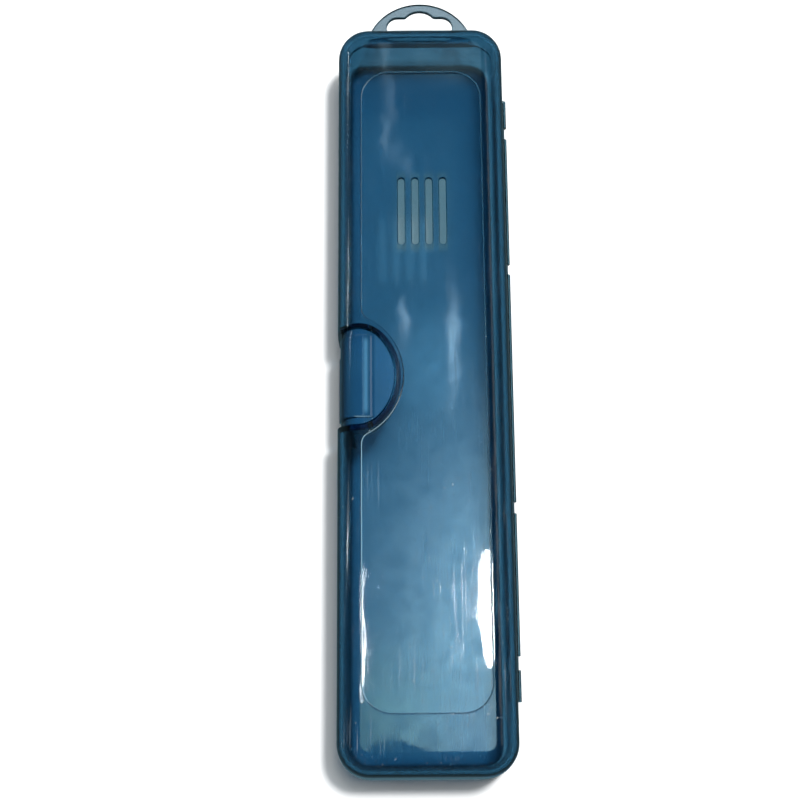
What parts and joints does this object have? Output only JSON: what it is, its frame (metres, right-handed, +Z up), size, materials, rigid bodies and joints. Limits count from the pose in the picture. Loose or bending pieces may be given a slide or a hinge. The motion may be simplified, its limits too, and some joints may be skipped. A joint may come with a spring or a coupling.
{
  "type": "toothbrush case",
  "caption": "Long hinged toothbrush case in translucent plastic, with vent slots, a D-shaped rocker latch and a hanging tab.",
  "frame": {"origin": "middle of the base's flat underside", "axes": "+Z up out of the lid, +Y along the case towards the hanging tab, +X across it towards the hinge"},
  "size_m": [0.0472, 0.2186, 0.024],
  "materials": {
    "shell_plastic": "glossy translucent blue",
    "latch_plastic": "glossy translucent blue",
    "steel_wire": "drawn wire"
  },
  "bodies": {
    "base": {"base_shell": "shell_plastic", "hanging_tab": "shell_plastic", "hinge_rod": "steel_wire"},
    "lid": {"lid_shell": "shell_plastic", "latch_pin": "steel_wire"},
    "latch": {"latch_button": "latch_plastic"}
  },
  "joints": [
    {"name": "lid_hinge", "type": "hinge", "parent": "base", "child": "lid", "pos_m": [0.02305, 0, 0.012], "axis": [0, 1, 0], "range_deg": [0, 180]},
    {"name": "latch_press", "type": "hinge", "parent": "lid", "child": "latch", "pos_m": [-0.0142, 0, 0.0206], "axis": [0, 1, 0], "range_deg": [0, 8], "stiffness_Nm_per_rad": 0.2, "springref_deg": -5.73}
  ]
}
